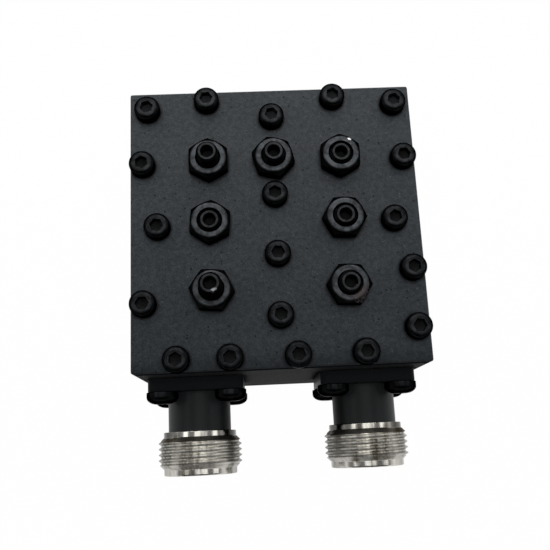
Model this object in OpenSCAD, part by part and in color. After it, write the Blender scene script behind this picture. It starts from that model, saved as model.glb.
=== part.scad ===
// Seven-post cavity bandpass filter in a milled box, with two threaded coaxial jacks.
// The origin is the middle of the underside. +Z goes up through the lid, and the jacks point to -Y.
// All lengths are in millimetres and all angles in degrees.

/* [Box] */
// Width of the box, along X
box_w = 52.7; // [51:0.1:70]
// Length of the box, along Y
box_l = 52.7; // [51:0.1:70]
// Height of the milled housing, without the lid
housing_h = 33; // [31:0.5:42]
// Radius of the box's upright corners
corner_r = 0.5; // [0.3:0.1:2]
// Thickness of the floor under the pockets
floor_t = 5; // [4:0.25:7]
// Thickness of the lid plate
lid_t = 2.5; // [2:0.1:4]
// Bevel round the lid's top edge
lid_bevel = 0.25; // [0.1:0.05:0.6]

/* [Tapped holes in the base] */
// Distance between the base holes, along X and Y
base_pitch = 43; // [40:0.5:44]
// Diameter of a base hole
base_hole_d = 2.5; // [2:0.1:3.3]
// Depth of a base hole
base_hole_depth = 6; // [4:0.5:8]

/* [Places of the posts] */
// Distance of the left column from the middle
col_left = 11.9; // [11.5:0.1:13]
// Distance of the right column from the middle
col_right = 12.3; // [11.5:0.1:13]
// Distance of the back row from the middle
row_back = 11.9; // [11.5:0.1:13]
// Distance of the front row from the middle
row_front = 12.4; // [11.5:0.1:13]

/* [Pockets and posts] */
// Width of a square pocket
pocket_w = 10; // [9.5:0.1:10.4]
// Corner radius of a pocket
pocket_r = 2; // [1.5:0.1:3]
// Width of the window between two pockets
window_w = 6; // [4:0.5:8]
// Height of a window's sill over the floor
window_sill = 6; // [3:0.5:12]
// Space between a post's top and the lid
post_headroom = 7; // [5:0.25:9]
// Wall round the hollow in a post's top
post_wall = 0.6; // [0.4:0.05:0.8]
// Space between the hollow and the tuning screw in it, at one side
post_gap = 0.4; // [0.25:0.05:0.6]
// Diameter of the stud under a post
stud_d = 3; // [2.5:0.1:4]

/* [Tuning screws] */
// Thread diameter of a tuning screw
tune_d = 4; // [3.6:0.1:4.4]
// Length of a tuning screw
tune_len = 16; // [15:0.5:17]
// Depth of a tuning screw's key socket
tune_socket_depth = 2.5; // [1.5:0.1:4]
// Bevel at both ends of a tuning screw
tune_bevel = 0.42; // [0.2:0.02:0.7]
// How far each screw can be turned up or down from where it was set
tune_travel = 2; // [0.5:0.25:2.5]
// How far the three screws of the back row stand out over the lid
tune_out_back = [5.9, 5.1, 3.6]; // [2:0.1:8]
// How far the two screws of the middle row stand out over the lid
tune_out_mid = [3.6, 3.8]; // [2:0.1:8]
// How far the two screws of the front row stand out over the lid
tune_out_front = [7.6, 4.4]; // [2:0.1:8]

/* [Lock nuts] */
// Width of a lock nut across its flats
nut_af = 7; // [6.6:0.1:8]
// Height of a lock nut
nut_h = 3.2; // [2:0.1:4]
// Diameter of the flat ring on a nut's face, inside the corner bevels
nut_face_d = 6.2; // [5.6:0.1:6.6]
// Diameter of the countersink at both ends of a nut's hole
nut_sink_d = 4.5; // [4.3:0.1:5]

/* [Lid screws] */
// Thread diameter of a lid screw
cap_d = 2.5; // [2:0.1:3]
// Length of a lid screw under its head
cap_len = 8; // [6:0.5:9]
// Diameter of a lid screw's head
cap_head_d = 4.5; // [4:0.1:5]
// Height of a lid screw's head
cap_head_h = 2.5; // [2:0.1:3]
// Rounding of the head's top edge
cap_head_r = 0.45; // [0.1:0.05:0.7]
// Depth of the key socket in the head
cap_socket_depth = 1.3; // [0.8:0.1:1.6]
// Width of the key socket across its flats, in lid screws and tuning screws
key_af = 2; // [1.5:0.1:2.3]
// Diameter of the clearance hole in the lid
cap_hole_d = 2.9; // [2.7:0.1:3.3]
// Distance of the back and side screws from their edge
edge_in = 2.35; // [1.9:0.05:3]
// Distance of the front screws from the front edge
front_in = 2.1; // [1.9:0.05:3]
// Distance of the two back corner screws from the side and back faces
corner_in = [3.35, 3.8]; // [3:0.05:5]
// Distance of the two inset side screws from the side faces
side_in = 4.95; // [4:0.05:6]

/* [Places of the lid screws] */
// Places along X of the front row
front_screw_x = [-18.4, -9.1, 2.7, 14.5]; // [-19:0.1:19]
// Places along X of the back row
back_screw_x = [-12, 11.6]; // [-19:0.1:19]
// Places along Y of the left column
left_screw_y = [11.7, -14.3]; // [-17:0.1:17]
// Places along Y of the right column
right_screw_y = [11.6, -9.6, -20.2]; // [-21:0.1:17]
// Place along Y of the two inset side screws
side_screw_y = -0.3; // [-3:0.1:3]
// Places along Y of the screws in the middle wall
wall_screw_y = [5.1, -6.1, -17.2]; // [-18:0.1:5.2]
// Place along Y of the screw behind the middle pocket
rear_screw_y = 20.4; // [19.5:0.1:21]

/* [Jacks] */
// Distance of each jack's axis from the middle
jack_x = 16; // [15:0.1:16.2]
// Height of the jacks' axes over the underside
jack_z = 17.75; // [16:0.05:18]
// Width of the square flange
flange_w = 17.7; // [17:0.1:18.5]
// Thickness of the flange
flange_t = 2.4; // [2:0.1:3]
// Corner radius of the flange
flange_r = 1; // [0.3:0.1:2]
// Distance between the flange screws
flange_pitch = 12.7; // [12:0.1:13]
// Diameter of the clearance hole in the flange
flange_hole_d = 3.2; // [3.1:0.1:3.6]
// Diameter of the neck
neck_d = 12; // [10:0.1:12.2]
// Length of the neck
neck_len = 7.3; // [6:0.1:9]
// Diameter of the plated shoulder
shoulder_d = 13.9; // [12.6:0.1:14.5]
// Length of the plated shoulder
shoulder_len = 1; // [0.6:0.05:2]
// Major diameter of the coupling thread
thread_d = 15.875; // [15.6:0.025:16]
// Full length of the coupling thread
thread_len = 3.9; // [3:0.1:6]
// Length of the lead-in bevel at both ends of the thread
lead_len = 1; // [0.4:0.05:1.2]
// Diameter of the front lip
lip_d = 13.9; // [12.6:0.1:14.5]
// Length of the front lip
lip_len = 1.15; // [0.8:0.05:3]
// Diameter of the mouth
mouth_d = 8.1; // [7.8:0.05:8.6]
// Depth of the mouth
mouth_depth = 9.1; // [8.5:0.1:9.6]

/* [Jack insides] */
// Width of the square recess that frees the rear pin in its pocket
tap_room = 5; // [4.4:0.1:6]
// Corner radius of that recess
tap_room_r = 1.5; // [1:0.1:2]
// Diameter of the insulator
insulator_d = 7; // [6:0.1:7.5]
// Diameter of the contact's socket end
socket_d = 3.04; // [2.8:0.02:3.2]
// Bore of the contact's socket end
socket_bore_d = 1.6; // [1.5:0.05:1.7]
// Depth of the contact's bore
socket_bore_depth = 4.6; // [4:0.1:5.5]
// Length of the slots in the contact's socket end
socket_slot_len = 3.8; // [3:0.1:4]
// Width of the slots in the contact's socket end
socket_slot_w = 0.25; // [0.2:0.05:0.4]
// Distance of the contact's tip behind the front of the jack
tip_in = 4.35; // [4.2:0.05:4.6]
// Length of the contact's thick end held in the insulator
socket_held = 3; // [2:0.1:5]
// Diameter of the contact's rear pin
pin_d = 1.3; // [1:0.05:1.5]
// How far the rear pin reaches into its pocket
pin_reach = 3; // [2.5:0.1:3.2]
// Outer diameter of the sleeve on the tap lug
tap_sleeve_d = 1.9; // [1.7:0.05:2]
// Length of the sleeve on the tap lug
tap_sleeve_len = 1.6; // [1.2:0.1:2]
// Width of the tap lug's web
tap_web_w = 1; // [0.6:0.1:1.4]
// Thickness of the tap lug's web
tap_web_t = 0.5; // [0.3:0.05:0.8]

/* [Flange screws] */
// Thread diameter of a flange screw
flange_screw_d = 3; // [2.8:0.1:3]
// Length of a flange screw under its head
flange_screw_len = 8; // [7:0.5:9]
// Diameter of a flange screw's head
flange_head_d = 5.6; // [5.2:0.1:5.8]
// Height of a flange screw's head
flange_head_h = 2.2; // [1.8:0.1:2.6]
// Height of the straight rim under the head's dome
flange_rim_h = 0.9; // [0.5:0.1:1.2]
// Diameter of the flat on top of the dome
flange_flat_d = 1.9; // [1:0.1:3]
// Width of the arms of the cross recess
cross_w = 0.7; // [0.5:0.05:0.9]
// Length of the cross recess from tip to tip
cross_len = 2.8; // [2:0.1:3.2]
// Depth of the cross recess
cross_depth = 1.2; // [0.8:0.1:1.4]

/* [Fits] */
// Radial clearance of every thread in its hole
thread_fit = 0.05; // [0.03:0.01:0.09]
// Radial clearance of parts that are pressed or soldered in
seat_fit = 0.02; // [0.01:0.01:0.04]
// Extra depth of a tapped hole past its screw
tap_spare = 1; // [0.5:0.1:1.2]

/* [Hidden] */
$fn = 64;

// Extra length that lets a cutting shape pass its face
cut = 1;
lid_top = housing_h + lid_t;

// The signal path runs from the left jack up the left column, across the back and down the right one
post_at = [[-col_left, -row_front], [-col_left, 0], [-col_left, row_back], [0, row_back],
    [col_right, row_back], [col_right, 0], [col_right, -row_front]];
tune_out = [tune_out_front[0], tune_out_mid[0], tune_out_back[0], tune_out_back[1],
    tune_out_back[2], tune_out_mid[1], tune_out_front[1]];
// Turn of each lock nut and of each tuning screw's socket
nut_turn = [-5, 25, 30, 45.6, 30, -2, -3];
tune_turn = [25, 5, 0, 40, 10, 20, 35];

// Lid screw places: back corners, back row, columns, inset pair, middle wall and front row
side_x = box_w/2 - edge_in;
back_y = box_l/2 - edge_in;
front_y = front_in - box_l/2;
cap_at = concat(
    [for (s = [-1, 1]) [s*(box_w/2 - corner_in[0]), box_l/2 - corner_in[1]]],
    [for (x = back_screw_x) [x, back_y]],
    [[0, rear_screw_y]],
    [for (y = left_screw_y) [-side_x, y]],
    [for (y = right_screw_y) [side_x, y]],
    [for (s = [-1, 1]) [s*(box_w/2 - side_in), side_screw_y]],
    [for (y = wall_screw_y) [0, y]],
    [for (x = front_screw_x) [x, front_y]]);
// Each lid screw's socket stopped at its own angle
cap_turn_step = 37;

// Post heights: the hollow's floor stays clear of the lowest screw at the end of its travel
post_d = tune_d + 2*(post_gap + post_wall);
post_top = housing_h - post_headroom;
hollow_floor = lid_top + min(tune_out) - tune_len - tune_travel - post_gap;
stud_len = floor_t - tap_spare;
stud_hole_depth = floor_t - tap_spare/2;

// Stations along a jack, counted outwards from the box's front face
neck_end = flange_t + neck_len;
thread_start = neck_end + shoulder_len + lead_len;
thread_end = thread_start + thread_len;
lip_start = thread_end + lead_len;
jack_front = lip_start + lip_len;
mouth_floor = jack_front - mouth_depth;
front_wall = box_l/2 - row_front - pocket_w/2;
flange_corners = [for (x = [-1, 1]) for (y = [-1, 1]) [x, y]*flange_pitch/2];

housing_colour = [0.20, 0.21, 0.22];
lid_colour = [0.22, 0.23, 0.24];
screw_colour = [0.10, 0.11, 0.12];
nut_colour = [0.16, 0.17, 0.18];
silver_colour = [0.85, 0.85, 0.82];
nickel_colour = [0.68, 0.67, 0.64];
white_colour = [0.93, 0.93, 0.90];
gold_colour = [0.85, 0.68, 0.30];

module rounded_rect(w, l, r) {
    square([w - 2*r, l], center = true);
    square([w, l - 2*r], center = true);
    for (x = [-1, 1]) for (y = [-1, 1])
        translate([x*(w/2 - r), y*(l/2 - r)]) circle(r);
}

// Hexagonal prism of a given width across flats
module hex_prism(af, h) {
    cylinder(d = af/cos(30), h = h, $fn = 6);
}

// A bar with a chamfered top edge on both sides, used to bevel the lid
module bevel_bar(across, along) {
    rotate([90, 0, 0])
        translate([0, 0, -along/2])
            linear_extrude(along)
                polygon([[-across/2, 0], [across/2, 0], [across/2, lid_t - lid_bevel],
                    [across/2 - lid_bevel, lid_t], [lid_bevel - across/2, lid_t],
                    [-across/2, lid_t - lid_bevel]]);
}

// Places its children on a jack's axis, with +Z pointing out of the box
module at_jack(side) {
    translate([side*jack_x, -box_l/2, jack_z]) rotate([90, 0, 0]) children();
}

module window_between(a, b) {
    reach = norm(b - a);
    translate([a[0], a[1], floor_t + window_sill])
        rotate([0, 0, atan2(b[1] - a[1], b[0] - a[0])])
            translate([0, -window_w/2, 0])
                cube([reach, window_w, housing_h]);
}

module housing() {
    cap_hole_depth = cap_len - lid_t + tap_spare;
    flange_hole_depth = flange_screw_len - flange_t + tap_spare;
    color(housing_colour) difference() {
        linear_extrude(housing_h) rounded_rect(box_w, box_l, corner_r);
        for (p = post_at) {
            translate([p[0], p[1], floor_t])
                linear_extrude(housing_h) rounded_rect(pocket_w, pocket_w, pocket_r);
            translate([p[0], p[1], floor_t - stud_hole_depth])
                cylinder(d = stud_d + 2*thread_fit, h = stud_hole_depth + cut);
        }
        for (i = [0:len(post_at) - 2]) window_between(post_at[i], post_at[i + 1]);
        for (p = cap_at)
            translate([p[0], p[1], housing_h - cap_hole_depth])
                cylinder(d = cap_d + 2*thread_fit, h = cap_hole_depth + cut);
        for (side = [-1, 1]) at_jack(side) {
            translate([0, 0, -front_wall])
                cylinder(d = insulator_d + 2*seat_fit, h = front_wall + cut);
            for (p = flange_corners)
                translate([p[0], p[1], -flange_hole_depth])
                    cylinder(d = flange_screw_d + 2*thread_fit, h = flange_hole_depth + cut);
        }
        for (side = [-1, 1])
            translate([side*jack_x, front_wall - box_l/2 + tap_room/2, jack_z - tap_room/2])
                linear_extrude(housing_h) rounded_rect(tap_room, tap_room, tap_room_r);
        for (x = [-1, 1]) for (y = [-1, 1])
            translate([x*base_pitch/2, y*base_pitch/2, -cut])
                cylinder(d = base_hole_d, h = base_hole_depth + cut);
    }
}

module lid() {
    color(lid_colour) translate([0, 0, housing_h]) difference() {
        intersection() {
            linear_extrude(lid_t) rounded_rect(box_w, box_l, corner_r);
            bevel_bar(box_w, box_l);
            rotate([0, 0, 90]) bevel_bar(box_l, box_w);
        }
        for (p = cap_at)
            translate([p[0], p[1], -cut]) cylinder(d = cap_hole_d, h = lid_t + 2*cut);
        for (p = post_at)
            translate([p[0], p[1], -cut])
                cylinder(d = tune_d + 2*thread_fit, h = lid_t + 2*cut);
    }
}

// Socket head screw, standing on Z = 0 with its shank below
module cap_screw(turn) {
    head_r = cap_head_d/2;
    shank_r = cap_d/2;
    corner = [for (a = [0:30:90])
        [head_r - cap_head_r + cap_head_r*cos(a), cap_head_h - cap_head_r + cap_head_r*sin(a)]];
    difference() {
        rotate_extrude()
            polygon(concat([[0, -cap_len], [shank_r, -cap_len], [shank_r, 0], [head_r, 0]],
                corner, [[0, cap_head_h]]));
        translate([0, 0, cap_head_h - cap_socket_depth])
            rotate([0, 0, turn]) hex_prism(key_af, cap_socket_depth + cut);
    }
}

module lid_screws() {
    color(screw_colour)
        for (i = [0:len(cap_at) - 1])
            translate([cap_at[i][0], cap_at[i][1], lid_top]) cap_screw(i*cap_turn_step);
}

// Set screw with a flat, bevelled top and a key socket
module tuning_screw(i) {
    r = tune_d/2;
    color(screw_colour)
        translate([post_at[i][0], post_at[i][1], lid_top + tune_out[i]]) difference() {
            rotate_extrude()
                polygon([[0, -tune_len], [r - tune_bevel, -tune_len], [r, tune_bevel - tune_len],
                    [r, -tune_bevel], [r - tune_bevel, 0], [0, 0]]);
            translate([0, 0, -tune_socket_depth])
                rotate([0, 0, tune_turn[i]]) hex_prism(key_af, tune_socket_depth + cut);
        }
}

// Hexagon nut with bevelled corners and a countersunk hole, standing on the lid
module lock_nut(i) {
    hole_r = tune_d/2 + thread_fit;
    sink = nut_sink_d/2 - hole_r;
    corner_r_out = nut_af/2/cos(30) + cut;
    slope = (corner_r_out - nut_face_d/2)*tan(30);
    color(nut_colour) translate([post_at[i][0], post_at[i][1], lid_top])
        intersection() {
            rotate([0, 0, nut_turn[i]]) hex_prism(nut_af, nut_h);
            rotate_extrude()
                polygon([[hole_r, sink], [hole_r + sink, 0], [nut_face_d/2, 0], [corner_r_out, slope],
                    [corner_r_out, nut_h - slope], [nut_face_d/2, nut_h], [hole_r + sink, nut_h],
                    [hole_r, nut_h - sink]]);
        }
}

// Turned post with a hollow top, held by a stud in the floor
module resonator(i) {
    hollow_r = tune_d/2 + post_gap;
    color(silver_colour) translate([post_at[i][0], post_at[i][1], 0])
        rotate_extrude()
            polygon([[0, floor_t - stud_len], [stud_d/2, floor_t - stud_len], [stud_d/2, floor_t],
                [post_d/2, floor_t], [post_d/2, post_top], [hollow_r, post_top],
                [hollow_r, hollow_floor], [0, hollow_floor]]);
}

// Flange, neck and threaded end of a jack, turned from one bar
module jack_shell(side) {
    bore_r = insulator_d/2 + seat_fit;
    color(nickel_colour) at_jack(side) difference() {
        union() {
            linear_extrude(flange_t) rounded_rect(flange_w, flange_w, flange_r);
            rotate_extrude()
                polygon([[0, 0], [neck_d/2, 0], [neck_d/2, neck_end], [shoulder_d/2, neck_end],
                    [shoulder_d/2, neck_end + shoulder_len], [thread_d/2, thread_start],
                    [thread_d/2, thread_end], [lip_d/2, lip_start], [lip_d/2, jack_front],
                    [0, jack_front]]);
        }
        translate([0, 0, -cut]) cylinder(r = bore_r, h = jack_front + 2*cut);
        translate([0, 0, mouth_floor]) cylinder(d = mouth_d, h = mouth_depth + cut);
        for (p = flange_corners)
            translate([p[0], p[1], -cut]) cylinder(d = flange_hole_d, h = flange_t + 2*cut);
    }
}

module jack_insulator(side) {
    step = mouth_floor - socket_held;
    held_r = socket_d/2 + seat_fit;
    pin_r = pin_d/2 + seat_fit;
    color(white_colour) at_jack(side)
        rotate_extrude()
            polygon([[pin_r, -front_wall], [insulator_d/2, -front_wall], [insulator_d/2, mouth_floor],
                [held_r, mouth_floor], [held_r, step], [pin_r, step]]);
}

// Slotted socket contact with a thin rear pin
module jack_contact(side) {
    tip = jack_front - tip_in;
    step = mouth_floor - socket_held;
    color(gold_colour) at_jack(side) difference() {
        rotate_extrude()
            polygon([[0, -front_wall - pin_reach], [pin_d/2, -front_wall - pin_reach], [pin_d/2, step],
                [socket_d/2, step], [socket_d/2, tip], [socket_bore_d/2, tip],
                [socket_bore_d/2, tip - socket_bore_depth], [0, tip - socket_bore_depth]]);
        for (turn = [0, 90])
            rotate([0, 0, turn])
                translate([-socket_d/2 - cut, -socket_slot_w/2, tip - socket_slot_len])
                    cube([socket_d + 2*cut, socket_slot_w, socket_slot_len + cut]);
    }
}

// Sleeve on the contact's rear pin with a web that meets the first or last post
module tap_lug(side) {
    post = side < 0 ? post_at[0] : post_at[len(post_at) - 1];
    sleeve_end = front_wall + pin_reach - box_l/2;
    middle = [side*jack_x, sleeve_end - tap_sleeve_len/2];
    run = post - middle;
    color(silver_colour) translate([0, 0, jack_z]) difference() {
        union() {
            translate([middle[0], sleeve_end, 0])
                rotate([90, 0, 0]) cylinder(d = tap_sleeve_d, h = tap_sleeve_len);
            translate(middle)
                rotate([0, 0, atan2(run[1], run[0])])
                    translate([0, -tap_web_w/2, -tap_web_t/2]) cube([norm(run), tap_web_w, tap_web_t]);
        }
        translate([middle[0], sleeve_end + cut, 0])
            rotate([90, 0, 0]) cylinder(d = pin_d + 2*seat_fit, h = tap_sleeve_len + 2*cut);
        translate([post[0], post[1], -post_d/2]) cylinder(r = post_d/2 + seat_fit, h = post_d);
    }
}

// Pan head screw with a cross recess, standing on Z = 0 with its shank below
module pan_screw(turn) {
    head_r = flange_head_d/2;
    flat_r = flange_flat_d/2;
    dome_h = flange_head_h - flange_rim_h;
    dome = [for (a = [0:15:90])
        [flat_r + (head_r - flat_r)*cos(a), flange_rim_h + dome_h*sin(a)]];
    difference() {
        rotate_extrude()
            polygon(concat([[0, -flange_screw_len], [flange_screw_d/2, -flange_screw_len],
                [flange_screw_d/2, 0], [head_r, 0]], dome, [[0, flange_head_h]]));
        translate([0, 0, flange_head_h - cross_depth/2 + cut/2])
            for (arm = [0, 90])
                rotate([0, 0, turn + arm]) cube([cross_len, cross_w, cross_depth + cut], center = true);
    }
}

module flange_screws(side) {
    color(screw_colour) at_jack(side)
        for (i = [0:len(flange_corners) - 1])
            translate([flange_corners[i][0], flange_corners[i][1], flange_t])
                pan_screw(i*cap_turn_step);
}

housing();
lid();
lid_screws();
for (i = [0:len(post_at) - 1]) {
    tuning_screw(i);
    lock_nut(i);
    resonator(i);
}
jack_shell(-1);  // jack_shell_left
jack_shell(1);  // jack_shell_right
jack_insulator(-1);  // jack_insulator_left
jack_insulator(1);  // jack_insulator_right
jack_contact(-1);  // jack_contact_left
jack_contact(1);  // jack_contact_right
tap_lug(-1);  // tap_lug_left
tap_lug(1);  // tap_lug_right
flange_screws(-1);  // flange_screws_left
flange_screws(1);  // flange_screws_right
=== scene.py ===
import math
from functools import partial, reduce

import bmesh
import bpy
from bpy.props import FloatProperty, FloatVectorProperty, IntProperty, PointerProperty
from mathutils import Matrix, Vector


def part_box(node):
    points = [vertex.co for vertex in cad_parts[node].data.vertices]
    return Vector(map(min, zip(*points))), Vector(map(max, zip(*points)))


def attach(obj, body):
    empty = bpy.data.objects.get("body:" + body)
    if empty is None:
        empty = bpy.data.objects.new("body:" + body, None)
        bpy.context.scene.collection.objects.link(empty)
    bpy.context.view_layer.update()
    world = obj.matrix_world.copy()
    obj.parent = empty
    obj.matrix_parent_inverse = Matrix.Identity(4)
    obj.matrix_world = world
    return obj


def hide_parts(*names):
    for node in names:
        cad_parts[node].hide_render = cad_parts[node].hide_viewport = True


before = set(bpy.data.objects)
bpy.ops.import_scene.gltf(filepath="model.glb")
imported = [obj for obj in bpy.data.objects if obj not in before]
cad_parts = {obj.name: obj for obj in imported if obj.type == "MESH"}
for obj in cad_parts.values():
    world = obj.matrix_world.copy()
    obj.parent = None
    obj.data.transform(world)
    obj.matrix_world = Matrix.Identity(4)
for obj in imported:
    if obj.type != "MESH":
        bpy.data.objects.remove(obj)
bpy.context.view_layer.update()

bl_info = {
    "name": "Cavity filter finish",
    "version": (1, 0, 0),
    "blender": (4, 5, 0),
    "location": "3D View > Sidebar > Filter",
    "description": "Dresses a tunable cavity filter: painted box, black fasteners and plated jacks",
    "category": "Object",
}

MM = 0.001
CAD_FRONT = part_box("housing")[0].y / MM
POSTS = range(1, 8)
SIDES = ("left", "right")

# Corners closer than this become one: in a CAD node, in a turned shape, where a thread meets its
# neighbours, and between a jack's flange and its body, which stay apart
CAD_WELD = 1e-6
TURNED_WELD = 1e-7
THREAD_WELD = 2e-6
NO_WELD = 1e-9

# Rows of faces in one turn of a thread, and the turn from one screw of a row to the next
THREAD_ROWS = 16
TURN_STEP = math.radians(37)

# Reach of a key socket's faces from the axis, as a share of its width, and taper of a cross recess
SOCKET_REACH = 0.6
CROSS_TAPER = 0.55

# Degrees: faces of a CAD node flatter than the first are merged, edges sharper than the second rounded
MERGE_ANGLE, ROUND_ANGLE = 0.5, 40

# Spots: (place in mm, reach in mm, colour): painted glints on two tuning screws' rims, and a chipped spot and
# coppery worn patches on the nuts
SCREW_GLINTS = (((-11.3, -13.6, 43.0), 0.55, (0.22, 0.23, 0.24)),
              ((12.9, -12.9, 40.0), 0.5, (0.20, 0.18, 0.175)))
NUT_RUBS = (((14.1, 14.6, 38.7), 0.42, (0.55, 0.56, 0.56)), ((13.6, -14.0, 38.7), 1.9, (0.056, 0.047, 0.048)),
            ((-0.6, 11.2, 38.7), 1.3, (0.052, 0.046, 0.045)))

# Overhead strips: (degrees from the upright, width, radiance), all with one length, distance and target
STRIPS = ((-43, 0.16, 1.4), (4.5, 0.41, 1.15), (51, 0.18, 1.2))
STRIP_LENGTH = 0.5
STRIP_AWAY = 0.6
STRIP_TARGET = (0, 0.16, 0.02)

# The window behind the object, in metres
WINDOW_PLACE = (0, 0.48, 0.46)
WINDOW_TARGET = (0, 0, 0.03)
WINDOW_SIZE = (0.7, 0.34)
WINDOW_RADIANCE = 4.4

# Light of the world at the horizon and the zenith, and its share on the camera's side
HORIZON, ZENITH, FRONT_SHARE = 0.38, 0.22, 0.14

# Metres from the floor's middle to its sides, and how far it is lifted to white where it is seen
FLOOR_REACH = 12
FLOOR_LIFT = 0.985

# The photo's camera: focal length and sensor in millimetres, place in metres, turn in degrees
LENS, SENSOR = 46.32, 36
CAMERA_PLACE = (-0.004907, -0.038838, 0.158325)
CAMERA_TURN = (13.3816, -1.3379, -2.6988)


def metres(name, description, default):
    """A length property; the default is in metres"""
    return FloatProperty(name=name, description=description, default=default, unit="LENGTH")


class FilterSizes(bpy.types.PropertyGroup):
    """Sizes of the fasteners and jacks"""
    edge_round: metres("Edge rounding", "Rounding of painted edges", 0.00012)
    head_radius: metres("Cap head radius", "Radius of a lid screw's head", 0.00234)
    head_height: metres("Cap head height", "Height of a lid screw's head", 0.0025)
    head_round: metres("Cap head rounding", "Height of the rounding round the head's top", 0.00075)
    head_dome: metres("Cap head dome", "Width of the rounding round the head's top", 0.0011)
    head_socket: metres("Cap socket depth", "Depth of the key socket in a head", 0.0013)
    key_width: metres("Key width", "Width of a key socket across its flats", 0.002)
    shank_radius: metres("Cap shank radius", "Radius of a lid screw's shank", 0.00125)
    shank_length: metres("Shank length", "Length of a screw under its head", 0.008)
    nut_width: metres("Nut width", "Width of a lock nut across its flats", 0.007)
    nut_height: metres("Nut height", "Height of a lock nut", 0.0032)
    nut_face: metres("Nut face radius", "Radius of the flat ring on a nut", 0.00318)
    nut_sink: metres("Nut countersink", "Radius of the countersink in a nut", 0.00225)
    tune_radius: metres("Tuning screw radius", "Outer radius of the thread", 0.002)
    tune_root: metres("Tuning screw root", "Root radius of the thread", 0.00162)
    tune_pitch: metres("Tuning screw pitch", "Rise of the thread in one turn", 0.0007)
    tune_bevel: metres("Tuning screw bevel", "Bevel at the ends of the screw", 0.00042)
    tune_socket: metres("Tuning socket depth", "Depth of the key socket", 0.0025)
    tune_mouth: metres("Tuning socket mouth", "Radius of the countersink round the key socket", 0.0012)
    flange_width: metres("Flange width", "Width of the square flange", 0.0177)
    flange_corner: metres("Flange corner", "Corner radius of the flange", 0.001)
    flange_thick: metres("Flange thickness", "Thickness of the flange", 0.0024)
    flange_pitch: metres("Flange pitch", "Distance between the flange screws", 0.0127)
    flange_hole: metres("Flange hole", "Radius of a screw hole in the flange", 0.0016)
    neck_radius: metres("Neck radius", "Radius of a jack's neck", 0.006)
    neck_length: metres("Neck length", "Length of a jack's neck", 0.0073)
    shoulder_radius: metres("Shoulder radius", "Radius of the plated shoulder", 0.00695)
    shoulder_length: metres("Shoulder length", "Length of the plated shoulder", 0.001)
    jack_radius: metres("Jack thread radius", "Outer radius of a jack's thread", 0.0079375)
    jack_root: metres("Jack thread root", "Root radius of a jack's thread", 0.00746)
    jack_pitch: metres("Jack pitch", "Rise of a jack's thread in one turn", 0.0254 / 24)
    thread_length: metres("Thread length", "Length of a jack's full thread", 0.0039)
    lead_length: metres("Lead length", "Length of the bevel at both ends of the thread", 0.001)
    lip_radius: metres("Lip radius", "Radius of the front lip", 0.00695)
    lip_length: metres("Lip length", "Length of the front lip", 0.00115)
    mouth_radius: metres("Mouth radius", "Radius of the jack's mouth", 0.00405)
    mouth_depth: metres("Mouth depth", "Depth of the jack's mouth", 0.0091)
    bore_radius: metres("Bore radius", "Radius of the bore round the insulator", 0.00352)
    turned_edge: metres("Turned edge", "Rounding of the jack's turned edges", 0.00012)
    pan_radius: metres("Pan head radius", "Radius of a flange screw's head", 0.00295)
    pan_height: metres("Pan head height", "Height of a flange screw's head", 0.0022)
    pan_rim: metres("Pan head rim", "Height of the straight rim under the dome", 0.0009)
    pan_flat: metres("Pan head flat", "Radius of the flat on top of the dome", 0.00095)
    pan_shank: metres("Pan shank radius", "Radius of a flange screw's shank", 0.0015)
    cross_width: metres("Cross width", "Width of the arms of the cross recess", 0.0007)
    cross_length: metres("Cross length", "Length of the cross recess from tip to tip", 0.0028)
    cross_depth: metres("Cross depth", "Depth of the cross recess", 0.0012)
    small_edge: metres("Small edge", "Bevel at the foot of a head and at the mouth of a key socket", 0.0001)
    key_flare: metres("Key flare", "How much wider a cap screw's key socket is at its mouth", 0.00016)
    socket_cone: metres("Socket cone", "Depth of the cone at the bottom of a key socket", 0.0003)
    nut_edge: metres("Nut edge", "Rounding of a lock nut's corners and edges", 0.00004)
    thread_fit: metres("Thread fit", "Gap between a tuning screw's crests and its lock nut", 0.00005)
    turn_columns: IntProperty(name="Columns", description="Columns of faces round a jack", default=96)


def rgb(name, description, default):
    """A colour property"""
    return FloatVectorProperty(name=name, description=description, subtype="COLOR", size=3, default=default)


class FilterColours(bpy.types.PropertyGroup):
    """Colours of the finishes"""
    lid: rgb("Lid paint", "Charcoal paint of the lid", (0.0168, 0.0220, 0.0263))
    housing: rgb("Housing paint", "Dark coating of the housing", (0.037, 0.038, 0.040))
    oxide: rgb("Black oxide", "Finish of the screws", (0.0065, 0.0070, 0.0075))
    # The worn colours go on faces that look up: worn metal and a painted highlight in one
    screw_worn_lit: rgb("Worn screw", "Rubbed tops of the lid screws", (0.0300, 0.0322, 0.0342))
    nut: rgb("Nut black", "Finish of the lock nuts", (0.004, 0.0043, 0.0046))
    nut_worn_lit: rgb("Worn nut", "Rubbed face of the lock nuts", (0.0590, 0.0635, 0.0680))
    tune_worn_lit: rgb("Worn tuning screw", "Rubbed ends of the tuning screws", (0.0215, 0.0230, 0.0245))
    # Painted shade: a dark, barely glossy finish inside the key sockets
    socket: rgb("Key socket", "Oily black inside the key sockets", (0.0048, 0.0051, 0.0055))
    flange: rgb("Flange lacquer", "Black lacquer on the flanges", (0.0068, 0.0078, 0.0090))
    neck: rgb("Neck lacquer", "Black lacquer on the necks", (0.0108, 0.0130, 0.0136))
    nickel: rgb("Nickel", "Plating of the threaded ends", (0.54, 0.525, 0.48))
    tarnish: rgb("Tarnish", "Brown film on the threads", (0.16, 0.13, 0.08))
    # Painted shade on the bevels of the jack thread
    bevel_shade: rgb("Grime", "Dark film on the bevels of the jack thread", (0.045, 0.039, 0.031))
    silver: rgb("Silver", "Silver plate on the posts", (0.80, 0.79, 0.75))
    gold: rgb("Gold", "Gold plate on the contacts", (0.85, 0.60, 0.22))
    white: rgb("White", "White insulator", (0.80, 0.80, 0.77))
    floor: rgb("Floor", "Pale studio floor", (0.85, 0.85, 0.85))


# Nodes


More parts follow.
